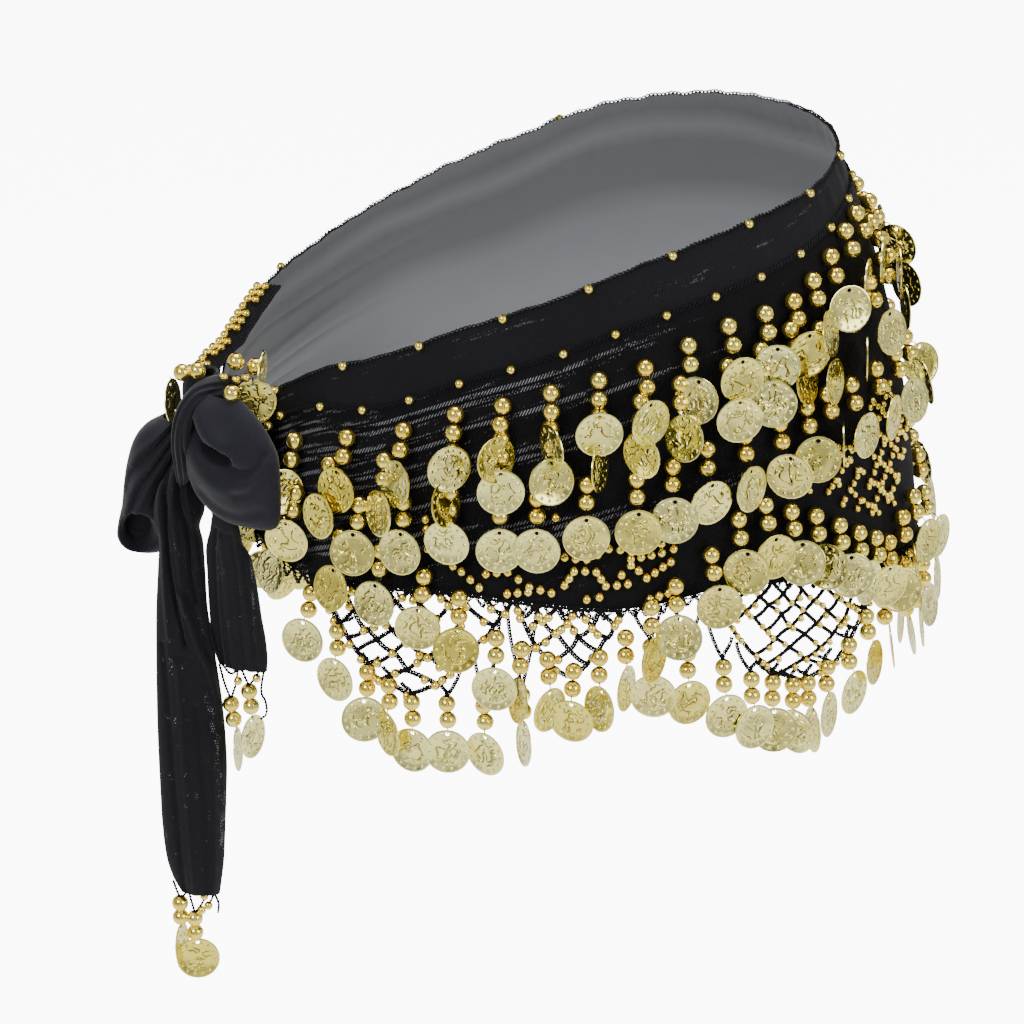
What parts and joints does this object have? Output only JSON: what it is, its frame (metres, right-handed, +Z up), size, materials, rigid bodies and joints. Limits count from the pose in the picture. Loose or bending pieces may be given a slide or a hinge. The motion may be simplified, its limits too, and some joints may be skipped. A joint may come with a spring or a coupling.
{
  "type": "belly dance hip scarf",
  "caption": "Dark cloth hip scarf worn round the hips and tied in a knot at one side, with rows of coins on beads, a crocheted net hem and two hanging ends.",
  "frame": {"origin": "on the wearer's own axis at the height of the rim at the front, where the hips hold the scarf", "axes": "+Z up along the wearer, -Y to the wearer's front, +X to the side away from the knot"},
  "size_m": [0.426, 0.2957, 0.4524],
  "materials": {
    "satin": "smooth black cloth with a low sheen",
    "mesh_cloth": "loose black mesh",
    "yarn": "black crochet yarn",
    "gold": "bright gold-coloured thin metal"
  },
  "bodies": {
    "root": {"coin_fringe_1": "gold", "coin_fringe_2": "gold", "coin_fringe_3": "gold", "coin_fringe_4": "gold", "coin_fringe_5": "gold", "coin_row_1": "gold", "coin_row_2": "gold", "coin_row_3": "gold", "coin_row_zigzag": "gold", "hip_panel": "mesh_cloth", "knot_fold_front": "satin", "knot_fold_side": "satin", "knot_wrap": "satin", "net_point_1": "yarn", "net_point_2": "yarn", "net_point_3": "yarn", "net_point_4": "yarn", "net_point_5": "yarn", "net_wedge_1": "yarn", "net_wedge_2": "yarn", "net_wedge_3": "yarn", "net_wedge_4": "yarn", "tail_long": "satin", "tail_long_coins": "gold", "tail_short": "satin", "tail_short_coins": "gold", "tie_back": "satin", "tie_front": "satin", "waist_band": "satin"}
  },
  "joints": []
}
